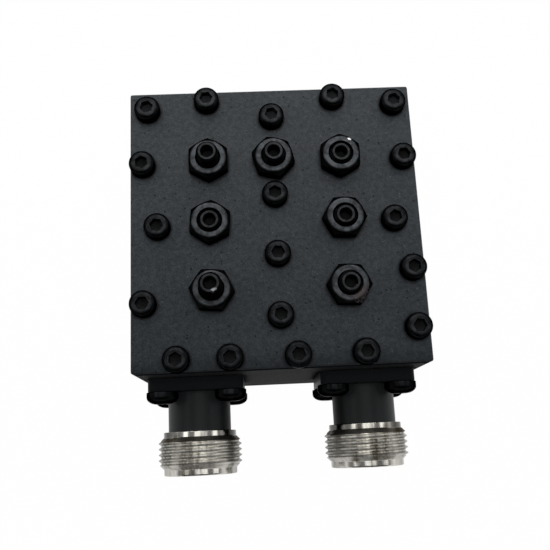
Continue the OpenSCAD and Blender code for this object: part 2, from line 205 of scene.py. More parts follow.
def feed(socket, value):
    """Links a socket to another one, or sets it to a value"""
    if isinstance(value, bpy.types.NodeSocket):
        socket.id_data.links.new(value, socket)
    else:
        socket.default_value = (*value, 1) if socket.type == "RGBA" else value


def add_node(tree, kind, inputs=(), **settings):
    """A new node; inputs: values or sockets, by the name or the number of the input"""
    node = tree.nodes.new(kind)
    for key, value in settings.items():
        setattr(node, key, value)
    for key, value in dict(inputs).items():
        feed(node.inputs[key], value)
    return node


def add_math(kind, *values):
    """Arithmetic on numbers and sockets, at least one of them a socket"""
    tree = next(v.id_data for v in values if isinstance(v, bpy.types.NodeSocket))
    return add_node(tree, "ShaderNodeMath", enumerate(values), operation=kind).outputs[0]


def times(*factors):
    """The product of sockets"""
    return reduce(lambda a, b: add_math("MULTIPLY", a, b), factors)


def axes(vector):
    """The X, Y and Z of a vector"""
    return add_node(vector.id_data, "ShaderNodeSeparateXYZ", {0: vector}).outputs


# Materials


def begin_material(name):
    """A new material, its shader and a vector of Object coordinates in millimetres"""
    mat = bpy.data.materials.new(name)
    mat.use_nodes = True
    coords = add_node(mat.node_tree, "ShaderNodeTexCoord").outputs["Object"]
    mapping = add_node(mat.node_tree, "ShaderNodeMapping", {"Vector": coords, "Scale": (1 / MM,) * 3})
    return mat, mat.node_tree.nodes["Principled BSDF"], mapping.outputs[0]


def add_noise(vector, scale, detail=2.0, rough=0.5, stretch=None):
    """Noise from 0 to 1; stretch: a factor for each axis of the vector"""
    tree = vector.id_data
    if stretch:
        vector = add_node(tree, "ShaderNodeMapping", {"Vector": vector, "Scale": stretch}).outputs[0]
    return add_node(tree, "ShaderNodeTexNoise", {
        "Vector": vector, "Scale": scale, "Detail": detail, "Roughness": rough}).outputs["Fac"]


def add_range(value, low, high, to_low=0.0, to_high=1.0):
    """A smooth step: to_low where the value is low, to_high where it is high"""
    return add_node(value.id_data, "ShaderNodeMapRange", {
        "Value": value, "From Min": low, "From Max": high, "To Min": to_low, "To Max": to_high},
        interpolation_type="SMOOTHSTEP").outputs["Result"]


def swing(value, amount):
    """A factor that follows a noise value from 1 - amount to 1 + amount"""
    return add_range(value, 0.35, 0.65, 1 - amount, 1 + amount)


def band(value, low, high, blur):
    """1 where the value lies between low and high, fading to 0 over the blur"""
    return times(add_range(value, low - blur, low), add_range(value, high + blur, high))


def add_mix(share, first, second):
    """Colour mix: first where share is 0, second where it is 1"""
    return add_node(share.id_data, "ShaderNodeMix", {"Factor": share, 6: first, 7: second},
                    data_type="RGBA").outputs[2]


def scaled(tone, factor):
    """A colour times a number"""
    return add_node(factor.id_data, "ShaderNodeVectorMath", {0: tone, "Scale": factor},
                    operation="SCALE").outputs[0]


def add_bumps(shader, *layers):
    """layers: (height, depth in millimetres); each bump goes on top of the one before"""
    below = {}
    for height, depth in layers:
        bump = add_node(shader.id_data, "ShaderNodeBump", {
            "Height": height, "Strength": 1.0, "Distance": depth * MM, **below})
        below = {"Normal": bump.outputs[0]}
    feed(shader.inputs["Normal"], below["Normal"])


def shade(base, factor):
    """A colour times a number, without nodes"""
    return tuple(min(1.0, c * factor) for c in base)


def spot(vector, place, reach):
    """1 within reach of a place in millimetres, ragged at its rim, 0 outside"""
    away = add_node(vector.id_data, "ShaderNodeVectorMath", {0: vector, 1: place}, operation="DISTANCE")
    rag = 0.35 * reach
    ragged = add_math("ADD", away.outputs["Value"], add_range(add_noise(vector, 3.0, 3), 0.3, 0.7, -rag, rag))
    return add_range(ragged, reach, 0.6 * reach)


def specks(vector, scale, radius, share, tone):
    """A factor: the tone on small dots, one in that share of the cells, and 1 between them"""
    cells = add_node(vector.id_data, "ShaderNodeTexVoronoi", {"Vector": vector, "Scale": scale}).outputs
    pick = add_node(vector.id_data, "ShaderNodeSeparateColor", {0: cells["Color"]}).outputs[0]
    dot = add_range(cells["Distance"], radius, 0.5 * radius)
    picked = add_range(pick, 1 - share, 1 - 0.8 * share)
    return add_range(times(dot, picked), 0, 1, 1, tone)


def off_axis(x):
    """How far outwards of its jack's axis a point is, in millimetres"""
    low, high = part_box("jack_shell_right")
    return add_math("SUBTRACT", add_math("ABSOLUTE", x), (low.x + high.x) / 2 / MM)


def facing(tree, axis, low, high, least=0.0):
    """A step on the face's normal along an axis: the least where it is low, 1 where it is high"""
    normal = add_node(tree, "ShaderNodeNewGeometry").outputs["Normal"]
    return add_range(axes(normal)[axis], low, high, least, 1)


def charcoal_paint(name, base, grain=1.0, gloss=0.27, walls=0.0, reach=0.9, corners=0.3):
    """Satin charcoal paint with a sandy grain, light specks and dark pits, and painted shade:
    in the corners, along the front edge, over the front half and towards the bottom.
    walls: share of the gloss on upright faces; reach, corners: width in millimetres and tone of the painted
    corner shade"""
    mat, shader, vector = begin_material(name)
    place = axes(vector)
    mottle, grit = add_noise(vector, 1.1, 3), add_noise(vector, 3.6, 3, 0.6)
    # Painted shade: darker where nearby faces hide the light, in corners and round fasteners
    corner = add_node(mat.node_tree, "ShaderNodeAmbientOcclusion", {"Distance": reach * MM}).outputs["AO"]
    corner_shade = add_range(corner, 0.5, 0.92, corners, 1)
    cloud = add_range(add_noise(vector, 0.12, 3), 0.3, 0.7, 0.95, 1.05)
    light_specks = specks(vector, 1.3, 0.22, 0.16, 1.6)
    dark_pits = specks(vector, 1.1, 0.25, 0.2, 0.4)
    # Painted shade: darker along the front edge and over the front half
    front_edge_shade = add_range(place["Y"], CAD_FRONT + 0.3, CAD_FRONT + 3.5, 0.7, 1)
    front_half_shade = add_range(place["Y"], -22, 2, 0.88, 1)
    # Painted shade: darker towards the bottom
    foot = add_range(place["Z"], 2, 24, 0.75, 1)
    body = times(corner_shade, cloud, swing(mottle, 0.12 * grain), swing(grit, 0.2 * grain), light_specks, dark_pits,
                 front_edge_shade, front_half_shade)
    sheen = add_range(facing(mat.node_tree, "Z", 0.2, 0.8), 0, 1, walls * gloss, gloss)
    shader.inputs["Specular IOR Level"].default_value = gloss
    feed(shader.inputs["Specular IOR Level"], times(body, sheen))
    feed(shader.inputs["Base Color"], scaled(base, times(body, foot)))
    feed(shader.inputs["Roughness"], add_range(grit, 0.3, 0.7, 0.44, 0.6))
    add_bumps(shader, (mottle, 0.04 * grain), (grit, 0.04 * grain))
    return mat


def black_oxide(name, base, worn, rough=0.36, uneven=0.3, rubs_and_glints=(), tip=0.86, far=1.0):
    """Black oxide steel, lighter where it looks up: partly worn metal, partly painted highlight.
    worn: colour of those faces, worn metal and painted highlight in one; each spot is a place in mm, a reach
    in mm and a colour, for worn spots and painted glints alike; tip: how little a face may look up and still
    be lightened;
    far: share of the lightening on the slopes at the back, below 1 a painted shade there"""
    mat, shader, vector = begin_material(name)
    patch, fine = add_noise(vector, 0.9, 3, 0.6), add_noise(vector, 9.0, 3, 0.6)
    # Painted highlight and wear: lighter where the face looks up; far paints shade on the slopes at the back
    worn_and_lit = times(facing(mat.node_tree, "Z", tip, 0.985), facing(mat.node_tree, "Y", 0.1, -0.14, far))
    tone = scaled(add_mix(worn_and_lit, base, worn), swing(patch, uneven))
    # Worn spots, and painted glints where highlights fall
    for place, reach, spot_colour in rubs_and_glints:
        tone = add_mix(spot(vector, place, reach), tone, spot_colour)
    feed(shader.inputs["Base Color"], tone)
    feed(shader.inputs["Roughness"], add_range(fine, 0.3, 0.7, rough - 0.06, rough + 0.1))
    feed(shader.inputs["Metallic"], 1.0)
    feed(shader.inputs["Specular Tint"], (0.12, 0.12, 0.12))
    add_bumps(shader, (fine, 0.004), (patch, 0.006))
    return mat


def black_lacquer(name, base, gloss, rough=0.34, outer=1.0, inner=1.0, back=1.0):
    """Black lacquer over metal, with dust. outer, inner: tone and gloss of a neck's outer and inner flanks, a
    painted shade;
    back: tone at the back of the lid, painted light in the key sockets there"""
    mat, shader, vector = begin_material(name)
    place = axes(vector)
    dust, peel = add_noise(vector, 5.0, 4, 0.7), add_noise(vector, 1.1, 2)
    across = off_axis(place["X"])
    # Painted shade: a neck darker towards its two flanks
    sides = times(add_range(across, 4.4, 5.6, 1, outer), add_range(across, -3.6, -5.4, 1, inner))
    dusty = add_mix(add_range(dust, 0.6, 0.8), base, shade(base, 2.2))
    # The back factor paints light into the key sockets at the back of the lid
    feed(shader.inputs["Base Color"], scaled(dusty, times(add_range(place["Y"], 15, 22, 1, back), sides)))
    shader.inputs["Specular IOR Level"].default_value = gloss
    feed(shader.inputs["Specular IOR Level"], add_math("MULTIPLY", sides, gloss))
    feed(shader.inputs["Roughness"], add_range(dust, 0.3, 0.7, rough, rough + 0.15))
    add_bumps(shader, (peel, 0.008), (dust, 0.004))
    return mat


def tarnished_nickel(name, plate, film, bevel_shade):
    """Nickel with lengthwise brown streaks, and painted shade on both bevels of the thread, on the shoulder's
    flanks and towards the thread's flanks
    """
    mat, shader, vector = begin_material(name)
    s = bpy.context.scene.filter_sizes
    place = axes(vector)
    # Millimetres out from the box: end of the shoulder, first turn, front bevel, lip and front face
    shoulder = (s.flange_thick + s.neck_length + s.shoulder_length) / MM
    turns = shoulder + s.lead_length / MM
    bevel = turns + s.thread_length / MM
    lip = bevel + s.lead_length / MM
    face = lip + s.lip_length / MM
    out = add_math("SUBTRACT", CAD_FRONT, place["Y"])
    across = add_math("ABSOLUTE", off_axis(place["X"]))
    streak = add_noise(vector, 0.55, 4, 0.65, stretch=(1, 0.16, 1))
    patch = add_noise(vector, 0.35, 3)
    marks = add_noise(vector, 7.0, 3, 0.6, stretch=(0.06, 1, 0.06))
    dulled = times(add_range(streak, 0.5, 0.72), add_range(patch, 0.35, 0.6))
    # Painted shade: dark bands on the bevels at both ends of the thread, in the specular tint too
    rear_bevel_shade = times(band(out, shoulder + 0.15, turns - 0.15, 0.15), add_range(across, 5, 7, 0.9, 0.7))
    front_bevel_shade = times(band(out, bevel + 0.05, lip - 0.15, 0.2), add_range(across, 2.5, 5.5, 0.72, 0.1))
    bevel_shade_mask = times(add_math("ADD", rear_bevel_shade, front_bevel_shade), add_range(patch, 0.3, 0.6, 0.75, 1))
    # Painted shade: the shoulder darker on its flanks
    shoulder_flank_shade = times(add_range(out, shoulder + 0.1, shoulder), add_range(across, 2.5, 5.5))
    tone = scaled(add_mix(dulled, plate, film), add_range(streak, 0.4, 0.65, 1.25, 0.7))
    # Painted shade: darker towards the flanks
    tone = scaled(add_mix(bevel_shade_mask, tone, bevel_shade), add_range(across, 3.0, 7.7, 1, 0.42))
    tone = scaled(tone, add_range(shoulder_flank_shade, 0, 1, 1, 0.2))
    tone = add_mix(add_range(out, face - 0.06, face - 0.03), tone, shade(plate, 0.9))
    feed(shader.inputs["Base Color"], tone)
    feed(shader.inputs["Specular Tint"], add_mix(bevel_shade_mask, (1, 1, 1), (0.2, 0.17, 0.14)))
    feed(shader.inputs["Metallic"], 1.0)
    worn = band(out, turns, bevel, 0.1)
    dull = add_math("ADD", add_math("MULTIPLY", bevel_shade_mask, 0.3), add_math("MULTIPLY", worn, 0.2))
    feed(shader.inputs["Roughness"], add_math("ADD", add_range(streak, 0.3, 0.75, 0.09, 0.24), dull))
    add_bumps(shader, (marks, 0.006))
    return mat


def plated(name, colour, rough):
    """Bright plating with fine turning marks"""
    mat, shader, vector = begin_material(name)
    marks = add_noise(vector, 5.0, 3, 0.6)
    feed(shader.inputs["Base Color"], add_mix(add_range(marks, 0.3, 0.7), shade(colour, 0.85), colour))
    feed(shader.inputs["Metallic"], 1.0)
    feed(shader.inputs["Roughness"], add_range(marks, 0.3, 0.7, rough, rough + 0.12))
    add_bumps(shader, (marks, 0.003))
    return mat


def white_insulator(name, colour):
    """Slightly waxy white plastic"""
    mat, shader, vector = begin_material(name)
    cloud = add_noise(vector, 1.2, 3)
    feed(shader.inputs["Base Color"], add_mix(add_range(cloud, 0.3, 0.7), shade(colour, 0.93), colour))
    feed(shader.inputs["Roughness"], 0.42)
    feed(shader.inputs["Subsurface Weight"], 0.15)
    feed(shader.inputs["Subsurface Scale"], 0.8 * MM)
    add_bumps(shader, (cloud, 0.01))
    return mat


def finish(name):
    """The finish of that name, made once"""
    if name in bpy.data.materials:
        return bpy.data.materials[name]
    c = bpy.context.scene.filter_colours
    make = {
        "lid_charcoal": partial(charcoal_paint, base=c.lid),
        # Housing: a wide, deep painted corner shade, darkest next to the flanges
        "housing_charcoal": partial(charcoal_paint, base=c.housing, grain=0.8, gloss=0.1, walls=0.05,
                                    reach=2.6, corners=0.1),
        # Lid screws: the back of each head's rounding painted darker, a painted shade
        "screw_oxide": partial(black_oxide, base=c.oxide, worn=c.screw_worn_lit, far=0.1),
        # Pan heads: the lighter tops are a painted highlight
        "pan_oxide": partial(black_oxide, base=shade(c.oxide, 0.9), worn=shade(c.oxide, 2.2), rough=0.3),
        # Nuts: the slopes at the back painted darker, a painted shade; the spots are real wear
        "nut_oxide": partial(black_oxide, base=c.nut, worn=c.nut_worn_lit, rough=0.4, uneven=0.4, rubs_and_glints=NUT_RUBS,
                             tip=0.78, far=0.45),
        # Tuning screws: a darker base, a painted shade on the threads down in the nuts, and painted glints
        "tuning_oxide": partial(black_oxide, base=shade(c.oxide, 0.5), worn=c.tune_worn_lit, rough=0.32,
                                rubs_and_glints=SCREW_GLINTS),
        "flange_lacquer": partial(black_lacquer, base=c.flange, gloss=0.05),
        "neck_lacquer": partial(black_lacquer, base=c.neck, gloss=0.15, rough=0.3, outer=0.7, inner=0.25),
        # Key sockets: a painted shade, lighter at the back of the lid
        "socket_black": partial(black_lacquer, base=c.socket, gloss=0.05, back=3.5),
        "jack_nickel": partial(tarnished_nickel, plate=c.nickel, film=c.tarnish, bevel_shade=c.bevel_shade),
        "post_silver": partial(plated, colour=c.silver, rough=0.18),
        "contact_gold": partial(plated, colour=c.gold, rough=0.16),
        "insulator_white": partial(white_insulator, colour=c.white),
    }[name]
    return make(name)


# Meshes


def to_mesh(bm, name, materials=()):
    """Turns a bmesh into a mesh of that name and frees it"""
    mesh = bpy.data.meshes.new(name)
    bm.to_mesh(mesh)
    bm.free()
    for material in materials:
        mesh.materials.append(material)
    return mesh


def new_object(name, data):
    """An object at the origin, in the scene"""
    obj = bpy.data.objects.new(name, data)
    bpy.context.scene.collection.objects.link(obj)
    return obj


def evaluated(name, obj, *tools):
    """The plain mesh that an object's modifiers give. The object and its tools are removed"""
    bpy.context.view_layer.update()
    graph = bpy.context.evaluated_depsgraph_get()
    mesh = bpy.data.meshes.new_from_object(obj.evaluated_get(graph), depsgraph=graph)
    mesh.name = name
    for used in (obj, *tools):
        bpy.data.objects.remove(used)
    return mesh


def merged(node):
    """A CAD node's faces with their corners joined"""
    bm = bmesh.new()
    bm.from_mesh(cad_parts[node].data)
    bmesh.ops.remove_doubles(bm, verts=bm.verts, dist=CAD_WELD)
    return bm


def solids(node):
    """The separate solids of a CAD node, each as a list of points"""
    bm = merged(node)
    found, seen = [], set()
    for start in bm.verts:
        if start in seen:
            continue
        seen.add(start)
        group, queue = [], [start]
        while queue:
            vert = queue.pop()
            group.append(vert.co.copy())
            for edge in vert.link_edges:
                other = edge.other_vert(vert)
                if other not in seen:
                    seen.add(other)
                    queue.append(other)
        found.append(group)
    bm.free()
    return found


def middle(points):
    """The centre, the lowest and the highest corner of the box round the points"""
    low = Vector([min(p[k] for p in points) for k in range(3)])
    high = Vector([max(p[k] for p in points) for k in range(3)])
    return (low + high) / 2, low, high


def hex_turn(points, centre, radius):
    """Angle of a hexagon's corner about the Z axis through centre, from the points nearest that radius"""
    flat = [Vector((p.x - centre.x, p.y - centre.y)) for p in points]
    best = min(flat, key=lambda v: abs(v.length - radius))
    return math.atan2(best.y, best.x)


def hexagon(width):
    """Radius of a hexagon across its flats, at an angle, with a corner at 0"""
    return lambda a: width / 2 / math.cos((a % (math.pi / 3)) - math.pi / 6)


def at_angle(value, a):
    """A ring's radius or height at an angle, for a number or a function of the angle"""
    return value(a) if callable(value) else value


def turned(name, rings, columns=48, loop=False, materials=()):
    """A mesh of rings round Z. A ring is (radius, height); either may be a function of the angle"""
    bm = bmesh.new()
    angles = [2 * math.pi * k / columns for k in range(columns)]
    grid = [[bm.verts.new((at_angle(r, a) * math.cos(a), at_angle(r, a) * math.sin(a), at_angle(z, a)))
             for a in angles] for r, z in rings]
    pairs = list(zip(grid, grid[1:])) + ([(grid[-1], grid[0])] if loop else [])
    for lower, upper in pairs:
        for k in range(columns):
            n = (k + 1) % columns
            bm.faces.new((lower[k], lower[n], upper[n], upper[k]))
    bmesh.ops.remove_doubles(bm, verts=bm.verts, dist=TURNED_WELD)
    bmesh.ops.recalc_face_normals(bm, faces=bm.faces)
    return to_mesh(bm, name, materials)


def arc(centre_r, centre_z, radius, start, end, steps):
    """Points of a quarter round in a turned profile, angles in degrees from the outward direction"""
    angles = [math.radians(start + (end - start) * k / steps) for k in range(steps + 1)]
    return [(centre_r + radius * math.cos(a), centre_z + radius * math.sin(a)) for a in angles]


def mark_socket(mesh, reach, low, high):
    """Marks the faces of a key socket: the seating tree gives them a dark finish of their own, a painted
    shade
    """
    flags = mesh.attributes.new("socket", "BOOLEAN", "FACE")
    for face, flag in zip(mesh.polygons, flags.data):
        flag.value = low < face.center.z < high and math.hypot(face.center.x, face.center.y) < reach


def soften(mesh, angle=32):
    """Smooth shading, with edges sharper than the angle kept"""
    mesh.shade_smooth()
    mesh.set_sharp_from_angle(angle=math.radians(angle))


def face_outwards(mesh):
    """Turns all faces of a closed mesh outwards"""
    bm = bmesh.new()
    bm.from_mesh(mesh)
    bmesh.ops.recalc_face_normals(bm, faces=bm.faces)
    bm.to_mesh(mesh)
    bm.free()


def joined(name, meshes, matrix=None, weld=THREAD_WELD):
    """One mesh of several, placed by matrix, with equal corners joined. Materials stay."""
    bm = bmesh.new()
    slots = []
    for mesh in meshes:
        offset = {}
        for index, material in enumerate(mesh.materials):
            if material not in slots:
                slots.append(material)
            offset[index] = slots.index(material)
        before = len(bm.faces)
        bm.from_mesh(mesh)
        bm.faces.ensure_lookup_table()
        for face in bm.faces[before:]:
            face.material_index = offset.get(face.material_index, 0)
    bmesh.ops.remove_doubles(bm, verts=bm.verts, dist=weld)
    if matrix:
        bm.transform(matrix)
    return to_mesh(bm, name, slots)


def settle(piece, body, slot, *nodes):
    """Gives a piece its body and hides the CAD nodes that it replaces; the slot is not used"""
    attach(piece, body)
    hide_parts(*nodes)


def rounded_copy(node, name, width, material, slot):
    """A piece of the box in place of a CAD node: its faces merged and its edges rounded"""
    bm = merged(node)
    bmesh.ops.dissolve_limit(bm, angle_limit=math.radians(MERGE_ANGLE), verts=bm.verts, edges=bm.edges)
    mesh = to_mesh(bm, name, (material,))
    soften(mesh)
    piece = new_object(name, mesh)
    bevel = piece.modifiers.new("edges", "BEVEL")
    bevel.width = width
    bevel.segments = 2
    bevel.limit_method = "ANGLE"
    bevel.angle_limit = math.radians(ROUND_ANGLE)
    bevel.harden_normals = True
    settle(piece, "box", slot, node)


# Geometry node trees


def new_tree(name, inputs):
    """A new tree with those inputs, label to kind; also the inputs' sockets and the output's"""
    tree = bpy.data.node_groups.new(name, "GeometryNodeTree")
    tree.interface.new_socket("Geometry", in_out="OUTPUT", socket_type="NodeSocketGeometry")
    for label, kind in {"Geometry": "Geometry", **inputs}.items():
        tree.interface.new_socket(label, in_out="INPUT", socket_type="NodeSocket" + kind)
    return tree, tree.nodes.new("NodeGroupInput").outputs, tree.nodes.new("NodeGroupOutput").inputs[0]


def made_real(geometry, material):
    """Realizes instances and sets their material"""
    tree = geometry.id_data
    real = add_node(tree, "GeometryNodeRealizeInstances", {0: geometry}).outputs[0]
    return add_node(tree, "GeometryNodeSetMaterial", {"Geometry": real, "Material": material}).outputs[0]


def seating_tree():
    """Sets a fastener on each point, tips it, turns each one on by a step and realizes them"""
    tree, given, out = new_tree("fastener_seating", {
        "Fastener": "Object", "Tip": "Vector", "First Turn": "Float", "Turn Step": "Float",
        "Finish": "Material", "Socket Shade Finish": "Material"})
    fastener = add_node(tree, "GeometryNodeObjectInfo", {"Object": given["Fastener"]})
    tip = add_node(tree, "FunctionNodeEulerToRotation", {0: given["Tip"]})
    placed = add_node(tree, "GeometryNodeInstanceOnPoints", {
        "Points": given["Geometry"], "Instance": fastener.outputs["Geometry"], "Rotation": tip.outputs[0]})
    index = add_node(tree, "GeometryNodeInputIndex").outputs[0]
    turn = add_math("MULTIPLY_ADD", index, given["Turn Step"], given["First Turn"])
    about_z = add_node(tree, "ShaderNodeCombineXYZ", {"Z": turn})
    spun = add_node(tree, "GeometryNodeRotateInstances", {
        "Instances": placed.outputs["Instances"], "Rotation": about_z.outputs[0], "Local Space": True})
    # Painted shade: the key sockets' faces get a dark finish of their own
    socket = add_node(tree, "GeometryNodeInputNamedAttribute", {"Name": "socket"}, data_type="BOOLEAN")
    socket_shaded = add_node(tree, "GeometryNodeSetMaterial", {
        "Geometry": made_real(spun.outputs[0], given["Finish"]), "Selection": socket.outputs["Attribute"],
        "Material": given["Socket Shade Finish"]})
    feed(out, socket_shaded.outputs[0])


def thread_tree():
    """A helical thread round Z, cut down to a smaller radius by a lead-in bevel at both ends"""
    lengths = ("Outer Radius", "Root Radius", "Pitch", "Start", "End", "Start Radius", "End Radius",
               "Start Lead", "End Lead")
    tree, given, out = new_tree("helical_thread", {
        **dict.fromkeys(lengths, "Float"), "Columns": "Int", "Rows": "Int", "Finish": "Material"})
    outer, start, end = given["Outer Radius"], given["Start"], given["End"]
    m = add_math
    grid = add_node(tree, "GeometryNodeMeshGrid", {
        "Vertices X": m("ADD", given["Columns"], 1), "Vertices Y": m("ADD", given["Rows"], 1)})
    place = axes(add_node(tree, "GeometryNodeInputPosition").outputs[0])
    round_share = m("ADD", place["X"], 0.5)
    along = m("MULTIPLY", m("ADD", place["Y"], 0.5), m("DIVIDE", given["Rows"], THREAD_ROWS))
    height = m("MULTIPLY_ADD", m("ADD", m("SUBTRACT", along, 1), round_share), given["Pitch"], start)
    height = m("MINIMUM", m("MAXIMUM", height, start), end)
    # Shares of the pitch: half of the crest's flat, one flank, and a nudge off the jump of FRACT
    crest, flank, nudge = 1 / 16, 5 / 16, 1 / 64
    off_crest = m("ABSOLUTE", m("SUBTRACT", m("FRACT", m("ADD", along, nudge)), 0.5 + nudge))
    fall = m("DIVIDE", m("SUBTRACT", off_crest, crest), flank)
    fall = m("MINIMUM", m("MAXIMUM", fall, 0), 1)
    radius = m("SUBTRACT", outer, m("MULTIPLY", m("SUBTRACT", outer, given["Root Radius"]), fall))
    for gone, low, lead in ((m("SUBTRACT", height, start), given["Start Radius"], given["Start Lead"]),
                            (m("SUBTRACT", end, height), given["End Radius"], given["End Lead"])):
        slope = m("DIVIDE", m("SUBTRACT", outer, low), lead)
        radius = m("MINIMUM", radius, m("MULTIPLY_ADD", gone, slope, low))
    angle = m("MULTIPLY", round_share, 2 * math.pi)
    point = add_node(tree, "ShaderNodeCombineXYZ", {
        "X": m("MULTIPLY", radius, m("COSINE", angle)), "Y": m("MULTIPLY", radius, m("SINE", angle)),
        "Z": height})
    moved = add_node(tree, "GeometryNodeSetPosition", {
        "Geometry": grid.outputs["Mesh"], "Position": point.outputs[0]})
    welded = add_node(tree, "GeometryNodeMergeByDistance", {
        "Geometry": moved.outputs[0], "Distance": THREAD_WELD})
    feed(out, made_real(welded.outputs[0], given["Finish"]))


def tree_named(name):
    """The tree of that name, made once"""
    if name not in bpy.data.node_groups:
        {"fastener_seating": seating_tree, "helical_thread": thread_tree}[name]()
    return bpy.data.node_groups[name]


def grown(name, tree_name, base, values):
    """Runs a tree on the base mesh with those inputs and returns the plain mesh that it gives"""
    tree = tree_named(tree_name)
    obj = new_object(name, base)
    modifier = obj.modifiers.new("grow", "NODES")
    modifier.node_group = tree
    sockets = {s.name: s.identifier for s in tree.interface.items_tree if s.in_out == "INPUT"}
    for label, value in values.items():
        modifier[sockets[label]] = value
    return evaluated(name, obj)


def seated(name, fastener, places, material, tip=(0, 0, 0), first=0.0, step=0.0):
    """One mesh of the fastener on every place"""
    base = bpy.data.meshes.new(name + "_places")
    base.from_pydata([tuple(p) for p in places], [], [])
    holder = new_object(name + "_master", fastener)
    mesh = grown(name, "fastener_seating", base, {
        "Fastener": holder, "Tip": tip, "First Turn": first, "Turn Step": step, "Finish": material,
        "Socket Shade Finish": finish("socket_black")})
    bpy.data.objects.remove(holder)
    return mesh


def thread_mesh(name, outer, root, pitch, start, end, ends, leads, columns, material):
    """A thread from start to end; ends: radii at the two ends; leads: lengths of the bevels there"""
    rows = THREAD_ROWS * (math.ceil((end - start) / pitch) + 1)
    return grown(name, "helical_thread", bpy.data.meshes.new(name + "_seed"), {
        "Outer Radius": outer, "Root Radius": root, "Pitch": pitch, "Start": start, "End": end,
        "Start Radius": ends[0], "End Radius": ends[1], "Start Lead": leads[0], "End Lead": leads[1],
        "Columns": columns, "Rows": rows, "Finish": material})


# Pieces


def cap_screw_mesh(s):
    """Socket head screw with its seat at Z = 0"""
    key, key_open = hexagon(s.key_width), hexagon(s.key_width + s.key_flare)
    top, r, small = s.head_height, s.head_radius, s.small_edge
    floor = top - s.head_socket
    rim = [(r + s.head_dome * (math.cos(a) - 1), top + s.head_round * (math.sin(a) - 1))
           for a in (math.radians(15 * i) for i in range(7))]
    shank = [(0, -s.shank_length), (s.shank_radius, -s.shank_length), (s.shank_radius, 0)]
    socket = [(key_open, top), (key, top - small), (key, floor), (0, floor - s.socket_cone)]
    mesh = turned("cap_screw", shank + arc(r - small, small, small, -90, 0, 2) + rim + socket)
    mark_socket(mesh, SOCKET_REACH * s.key_width, floor - s.socket_cone - small, top - 1.1 * small)
    soften(mesh, 28)
    return mesh


def nut_mesh(s, hole):
    """Hexagon nut with scalloped bevels, a rounded face ring and a countersunk hole, its seat at Z = 0"""
    outline, top, sink, edge = hexagon(s.nut_width), s.nut_height, s.nut_sink - hole, s.nut_edge
    upper_slope, lower_slope = 1.0, 0.6
    # Half the width of the rounding between the face ring and the bevels
    blend = 0.34 * (s.nut_face - s.nut_sink)

    def past_face(a):
        return max(0.0, outline(a) - s.nut_face)

    def near(a):
        return outline(a) - edge

    def low(share):
        return lambda a: past_face(a) * lower_slope + edge * share

    def high(share):
        return lambda a: top - past_face(a) * upper_slope - edge * share

    shoulder = [(s.nut_face - blend + 2 * blend * t, top - blend * upper_slope * t * t)
                for t in (0.75, 0.5, 0.25, 0.0)]
    rings = [(hole, sink), (s.nut_sink, 0), (s.nut_face, 0), (near, low(0.25)), (outline, low(1.5)),
             (outline, high(1.5)), (near, high(0.25)), *shoulder, (s.nut_sink + 1.25 * edge, top),
             (s.nut_sink - 0.5 * edge, top - 1.25 * edge), (hole, top - sink)]
    mesh = turned("lock_nut", rings, columns=72, loop=True)
    soften(mesh, 24)
    return mesh


def tuning_screw_mesh(s, reach, material):
    """Threaded set screw with a key socket, from Z = 0 at its top down to -reach"""
    end_r, columns = s.tune_radius - s.tune_bevel, 24
    key, mouth, floor = hexagon(s.key_width), -1.5 * s.small_edge, -s.tune_socket
    thread = thread_mesh("tuning_thread", s.tune_radius, s.tune_root, s.tune_pitch, -reach, 0,
                         (end_r, end_r), (s.tune_bevel, s.tune_bevel), columns, material)
    top = turned("tuning_socket", [(end_r, 0), (s.tune_mouth, 0), (key, mouth), (key, floor),
                                   (0, floor - s.socket_cone)], columns, materials=(material,))
    foot = turned("tuning_foot", [(end_r, -reach), (0, -reach)], columns, materials=(material,))
    mesh = joined("tuning_screw", (thread, top, foot))
    face_outwards(mesh)
    mark_socket(mesh, SOCKET_REACH * s.key_width, floor - s.socket_cone - s.small_edge,
                mouth - 0.1 * s.small_edge)
    soften(mesh, 30)
    return mesh


def jack_frame(side):
    """Matrix from a jack's own axes, +Z out of the box, to the row's"""
    low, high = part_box("jack_shell_" + side)
    centre = Vector(((low.x + high.x) / 2, high.y, (low.z + high.z) / 2))
    return Matrix.Translation(centre) @ Matrix.Rotation(math.radians(90), 4, "X")


def plate_mesh(name, width, corner, thick, holes, rounding, material):
    """Flat square plate with rounded corners and round holes (x, y, radius), from Z = 0 to its thickness"""
    curve = bpy.data.curves.new(name, "CURVE")
    curve.dimensions = "2D"
    curve.fill_mode = "BOTH"
    curve.extrude = thick / 2 - rounding
    curve.bevel_depth = rounding
    curve.bevel_resolution = 2
    curve.resolution_u = 8

    def add_ring(points):
        spline = curve.splines.new("POLY")
        spline.points.add(len(points) - 1)
        for target, (x, y) in zip(spline.points, points):
            target.co = (x, y, 0, 1)
        spline.use_cyclic_u = True

    def round_points(x, y, radius, degrees):
        return [(x + radius * math.cos(a), y + radius * math.sin(a)) for a in map(math.radians, degrees)]

    half = width / 2 - corner - rounding
    outline = []
    for start, x, y in ((0, half, half), (90, -half, half), (180, -half, -half), (270, half, -half)):
        outline += round_points(x, y, corner, range(start, start + 91, 15))
    add_ring(outline)
    for x, y, r in holes:
        add_ring(round_points(x, y, r + rounding, range(0, -360, -10)))
    mesh = evaluated(name, new_object(name, curve))
    mesh.transform(Matrix.Translation((0, 0, thick / 2)))
    mesh.materials.clear()
    mesh.materials.append(material)
    return mesh


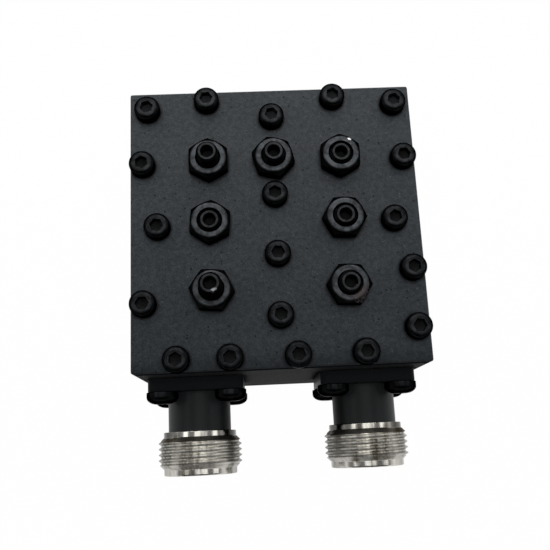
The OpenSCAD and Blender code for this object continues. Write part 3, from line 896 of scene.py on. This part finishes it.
def jack_mesh(side, s):
    """Flange, neck, shoulder, thread, lip and mouth of one jack"""
    black, dark, nickel = finish("flange_lacquer"), finish("neck_lacquer"), finish("jack_nickel")
    columns, soft = s.turn_columns, s.turned_edge
    neck_end = s.flange_thick + s.neck_length
    shoulder_end = neck_end + s.shoulder_length
    lip_start = shoulder_end + s.thread_length + 2 * s.lead_length
    front = lip_start + s.lip_length
    mouth_floor = front - s.mouth_depth
    half = s.flange_pitch / 2
    holes = [(x * half, y * half, s.flange_hole) for x in (-1, 1) for y in (-1, 1)] + [(0, 0, s.bore_radius)]
    plate = plate_mesh("flange_plate", s.flange_width, s.flange_corner, s.flange_thick, holes, soft, black)
    neck = turned("neck", [(s.bore_radius, 0), (s.neck_radius, 0), (s.neck_radius, neck_end),
                           (s.neck_radius, neck_end + soft)], columns, materials=(dark,))
    shoulder = turned("shoulder", [(s.neck_radius, neck_end + soft)]
                      + arc(s.shoulder_radius - soft, neck_end + soft, soft, -90, 0, 3)
                      + [(s.shoulder_radius, shoulder_end)], columns, materials=(nickel,))
    thread = thread_mesh("jack_thread", s.jack_radius, s.jack_root, s.jack_pitch, shoulder_end, lip_start,
                         (s.shoulder_radius, s.lip_radius), (s.lead_length, s.lead_length), columns, nickel)
    lip = turned("lip", [(s.lip_radius, lip_start), (s.lip_radius, front - 3 * soft)]
                 + arc(s.lip_radius - 2 * soft, front - 2 * soft, 2 * soft, 0, 90, 4)
                 + [(s.mouth_radius + soft, front), (s.mouth_radius, front - soft),
                    (s.mouth_radius, mouth_floor), (s.bore_radius, mouth_floor), (s.bore_radius, 0)],
                 columns, materials=(nickel,))
    body = joined("jack_body", (neck, shoulder, thread, lip))
    face_outwards(body)
    for mesh in (body, plate):
        soften(mesh, 34)
    return joined("jack_shell_" + side, (plate, body), jack_frame(side), weld=NO_WELD)


def cross_tool_mesh(s):
    """Two crossed bars, narrower at the bottom, with their middle at the top of a pan head"""
    bm = bmesh.new()
    for degrees in (0, 90):
        bar = bmesh.ops.create_cube(bm, size=1.0)["verts"]
        place = Matrix.Translation((0, 0, s.pan_height)) @ Matrix.Rotation(math.radians(degrees), 4, "Z")
        size = Matrix.Diagonal((s.cross_length, s.cross_width, 2 * s.cross_depth, 1))
        bmesh.ops.transform(bm, matrix=place @ size, verts=bar)
        for vert in bar:
            if vert.co.z < s.pan_height:
                vert.co.xy *= CROSS_TAPER
    return to_mesh(bm, "cross_tool")


def pan_screw_mesh(s):
    """Pan head screw with a cross recess, its seat at Z = 0"""
    rise, reach, small = s.pan_height - s.pan_rim, s.pan_radius - s.pan_flat, s.small_edge
    dome = [(s.pan_flat + reach * math.cos(math.radians(a)), s.pan_rim + rise * math.sin(math.radians(a)))
            for a in range(0, 91, 10)]
    flat = [(s.pan_flat * k / 4, s.pan_height) for k in (3, 2, 1, 0)]
    rings = [(0, -s.shank_length), (s.pan_shank, -s.shank_length), (s.pan_shank, 0),
             (s.pan_radius - small, 0), (s.pan_radius, small), *dome, *flat]
    head = new_object("pan_head", turned("pan_screw", rings, columns=64))
    tool = new_object("cross_tool", cross_tool_mesh(s))
    cut = head.modifiers.new("cross", "BOOLEAN")
    cut.operation = "DIFFERENCE"
    cut.object = tool
    cut.solver = "EXACT"
    cut.use_self = True
    mesh = evaluated("pan_screw", head, tool)
    mark_socket(mesh, SOCKET_REACH * s.cross_length, s.pan_height - s.cross_depth - small,
                s.pan_height - small)
    soften(mesh, 28)
    return mesh


class FILTER_OT_box(bpy.types.Operator):
    """Paint the housing and the lid and round their edges"""
    bl_idname = "filter.box"
    bl_label = "Housing and lid"

    def execute(self, context):
        s = context.scene.filter_sizes
        rounded_copy("lid", "lid_plate", s.edge_round, finish("lid_charcoal"), "lid_paint")
        rounded_copy("housing", "housing_block", s.edge_round, finish("housing_charcoal"), "housing_metal")
        return {"FINISHED"}


class FILTER_OT_lid_screws(bpy.types.Operator):
    """Set the socket head screws in the lid"""
    bl_idname = "filter.lid_screws"
    bl_label = "Lid screws"

    def execute(self, context):
        s = context.scene.filter_sizes
        seats = []
        for points in solids("lid_screws"):
            centre, _, high = middle(points)
            seats.append((centre.x, centre.y, high.z - s.head_height))
        mesh = seated("cap_screws", cap_screw_mesh(s), sorted(seats), finish("screw_oxide"), step=TURN_STEP)
        settle(new_object("cap_screws", mesh), "box", "dark_steel", "lid_screws")
        return {"FINISHED"}


class FILTER_OT_lock_nuts(bpy.types.Operator):
    """Set a lock nut round each tuning screw"""
    bl_idname = "filter.lock_nuts"
    bl_label = "Lock nuts"

    def execute(self, context):
        s = context.scene.filter_sizes
        master = nut_mesh(s, s.tune_radius + s.thread_fit)
        for k in POSTS:
            points = solids(f"lock_nut_{k}")[0]
            centre, low, _ = middle(points)
            turn = hex_turn(points, centre, s.nut_width)
            mesh = seated(f"hex_nut_{k}", master, [(centre.x, centre.y, low.z)], finish("nut_oxide"),
                          first=turn)
            settle(new_object(f"hex_nut_{k}", mesh), f"nut_{k}", "nut_steel", f"lock_nut_{k}")
        return {"FINISHED"}


class FILTER_OT_tuning_screws(bpy.types.Operator):
    """Cut the threads and sockets of the tuning screws"""
    bl_idname = "filter.tuning_screws"
    bl_label = "Tuning screws"

    def execute(self, context):
        s = context.scene.filter_sizes
        steel, corner = finish("tuning_oxide"), s.key_width / 2 / math.cos(math.pi / 6)
        master = None
        for k in POSTS:
            points = solids(f"tuning_screw_{k}")[0]
            centre, low, high = middle(points)
            master = master or tuning_screw_mesh(s, high.z - low.z, steel)
            turn = hex_turn(points, centre, corner)
            mesh = seated(f"set_screw_{k}", master, [(centre.x, centre.y, high.z)], steel, first=turn)
            settle(new_object(f"set_screw_{k}", mesh), f"screw_{k}", "dark_steel", f"tuning_screw_{k}")
        return {"FINISHED"}


class FILTER_OT_jacks(bpy.types.Operator):
    """Build the two jacks with their threads"""
    bl_idname = "filter.jacks"
    bl_label = "Jacks"

    def execute(self, context):
        for side in SIDES:
            jack = new_object("jack_" + side, jack_mesh(side, context.scene.filter_sizes))
            settle(jack, "box", "nickel_plate", "jack_shell_" + side)
        return {"FINISHED"}


class FILTER_OT_flange_screws(bpy.types.Operator):
    """Set four pan head screws in each flange"""
    bl_idname = "filter.flange_screws"
    bl_label = "Flange screws"

    def execute(self, context):
        s = context.scene.filter_sizes
        master = pan_screw_mesh(s)
        for side in SIDES:
            seats = []
            for points in solids("flange_screws_" + side):
                centre, low, _ = middle(points)
                seats.append((centre.x, low.y + s.pan_height, centre.z))
            mesh = seated("pan_screws_" + side, master, sorted(seats), finish("pan_oxide"),
                          tip=(math.radians(90), 0, 0), step=TURN_STEP)
            settle(new_object("pan_screws_" + side, mesh), "box", "dark_steel", "flange_screws_" + side)
        return {"FINISHED"}


class FILTER_OT_inner_parts(bpy.types.Operator):
    """Plate the posts, lugs and contacts and colour the insulators"""
    bl_idname = "filter.inner_parts"
    bl_label = "Inner parts"

    def execute(self, context):
        kinds = {"resonator": "post_silver", "tap_lug": "post_silver", "jack_contact": "contact_gold",
                 "jack_insulator": "insulator_white"}
        for node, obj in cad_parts.items():
            for start, name in kinds.items():
                if node.startswith(start):
                    obj.data.materials.clear()
                    obj.data.materials.append(finish(name))
        return {"FINISHED"}


# Stage


def softbox(name, place, target, size, radiance, upright="Y", shadow=True):
    """A rectangular lamp that shows as bright as its radiance, 1 being white"""
    light = bpy.data.lights.new(name, "AREA")
    light.shape = "RECTANGLE"
    light.size, light.size_y = size
    light.energy = radiance * math.pi * size[0] * size[1]
    light.use_shadow = shadow
    lamp = new_object(name, light)
    lamp.location = place
    lamp.rotation_euler = (Vector(target) - Vector(place)).to_track_quat("-Z", upright).to_euler()


def seen_rays(tree):
    """1 for camera, glossy and transmission rays"""
    path = add_node(tree, "ShaderNodeLightPath").outputs
    seen = add_math("MAXIMUM", path["Is Camera Ray"], path["Is Glossy Ray"])
    return add_math("MAXIMUM", seen, path["Is Transmission Ray"])


def studio_world(horizon, zenith, front):
    """Even light that changes softly from the horizon to the zenith, times front on the camera's side.
    Camera and glossy rays see the horizon white, as the floor goes on into it"""
    world = bpy.data.worlds.new("studio")
    world.use_nodes = True
    tree = world.node_tree
    way = axes(add_node(tree, "ShaderNodeTexCoord").outputs["Generated"])
    sky = times(add_range(way["Z"], 0.1, 0.9, horizon, zenith), add_range(way["Y"], -0.6, 0.15, front, 1))
    haze = times(seen_rays(tree), add_range(way["Z"], 0.4, 0.2))
    strength = add_node(tree, "ShaderNodeMix", {"Factor": haze, "A": sky, "B": 1.0})
    back = tree.nodes["Background"]
    feed(back.inputs["Color"], (0.985, 0.99, 1))
    feed(back.inputs["Strength"], strength.outputs[0])
    return world


def floor_material(tone, lift):
    """Pale floor that camera, glossy and transmission rays see lifted to white by that share"""
    mat = bpy.data.materials.new("studio_floor")
    mat.use_nodes = True
    tree = mat.node_tree
    diffuse = add_node(tree, "ShaderNodeBsdfDiffuse", {"Color": tone}).outputs[0]
    glow = add_node(tree, "ShaderNodeEmission").outputs[0]
    share = add_math("MULTIPLY", seen_rays(tree), lift)
    blend = add_node(tree, "ShaderNodeMixShader", {0: share, 1: diffuse, 2: glow})
    feed(tree.nodes["Material Output"].inputs["Surface"], blend.outputs[0])
    return mat


class FILTER_OT_stage(bpy.types.Operator):
    """Lay the floor, hang the lights and set the camera"""
    bl_idname = "filter.stage"
    bl_label = "Stage"

    def execute(self, context):
        scene = context.scene
        scene.view_settings.view_transform = "Standard"
        scene.world = studio_world(HORIZON, ZENITH, FRONT_SHARE)

        bm = bmesh.new()
        bmesh.ops.create_grid(bm, x_segments=1, y_segments=1, size=FLOOR_REACH)
        pale = floor_material(scene.filter_colours.floor, FLOOR_LIFT)
        new_object("floor", to_mesh(bm, "floor", (pale,)))

        x, y, z = STRIP_TARGET
        for degrees, width, radiance in STRIPS:
            a = math.radians(degrees)
            place = (x + STRIP_AWAY * math.sin(a), y, z + STRIP_AWAY * math.cos(a))
            softbox("overhead_strip", place, STRIP_TARGET, (width, STRIP_LENGTH), radiance, "X")
        softbox("back_window", WINDOW_PLACE, WINDOW_TARGET, WINDOW_SIZE, WINDOW_RADIANCE, shadow=False)

        lens = bpy.data.cameras.new("camera")
        lens.sensor_width = SENSOR
        lens.lens = LENS
        lens.clip_start = 5 * MM
        camera = new_object("camera", lens)
        camera.location = CAMERA_PLACE
        camera.rotation_euler = [math.radians(a) for a in CAMERA_TURN]
        scene.camera = camera
        return {"FINISHED"}


STEPS = (FILTER_OT_box, FILTER_OT_lid_screws, FILTER_OT_lock_nuts, FILTER_OT_tuning_screws,
         FILTER_OT_jacks, FILTER_OT_flange_screws, FILTER_OT_inner_parts, FILTER_OT_stage)


class FILTER_PT_panel(bpy.types.Panel):
    """Lists the filter's steps, sizes and colours"""
    bl_idname = "FILTER_PT_panel"
    bl_label = "Cavity filter"
    bl_space_type = "VIEW_3D"
    bl_region_type = "UI"
    bl_category = "Filter"

    def draw(self, context):
        for step in STEPS:
            self.layout.operator(step.bl_idname)
        for group in (context.scene.filter_sizes, context.scene.filter_colours):
            for name in group.bl_rna.properties.keys():
                if name not in ("rna_type", "name"):
                    self.layout.prop(group, name)


CLASSES = (FilterSizes, FilterColours, *STEPS, FILTER_PT_panel)


def register():
    """Adds the classes and the scene's sizes and colours"""
    for cls in CLASSES:
        bpy.utils.register_class(cls)
    bpy.types.Scene.filter_sizes = PointerProperty(type=FilterSizes)
    bpy.types.Scene.filter_colours = PointerProperty(type=FilterColours)


def unregister():
    """Takes them away again"""
    del bpy.types.Scene.filter_colours
    del bpy.types.Scene.filter_sizes
    for cls in reversed(CLASSES):
        bpy.utils.unregister_class(cls)


def main():
    """Runs every step"""
    register()
    for step in STEPS:
        getattr(bpy.ops.filter, step.bl_idname.removeprefix("filter."))()


if __name__ == "__main__":
    main()
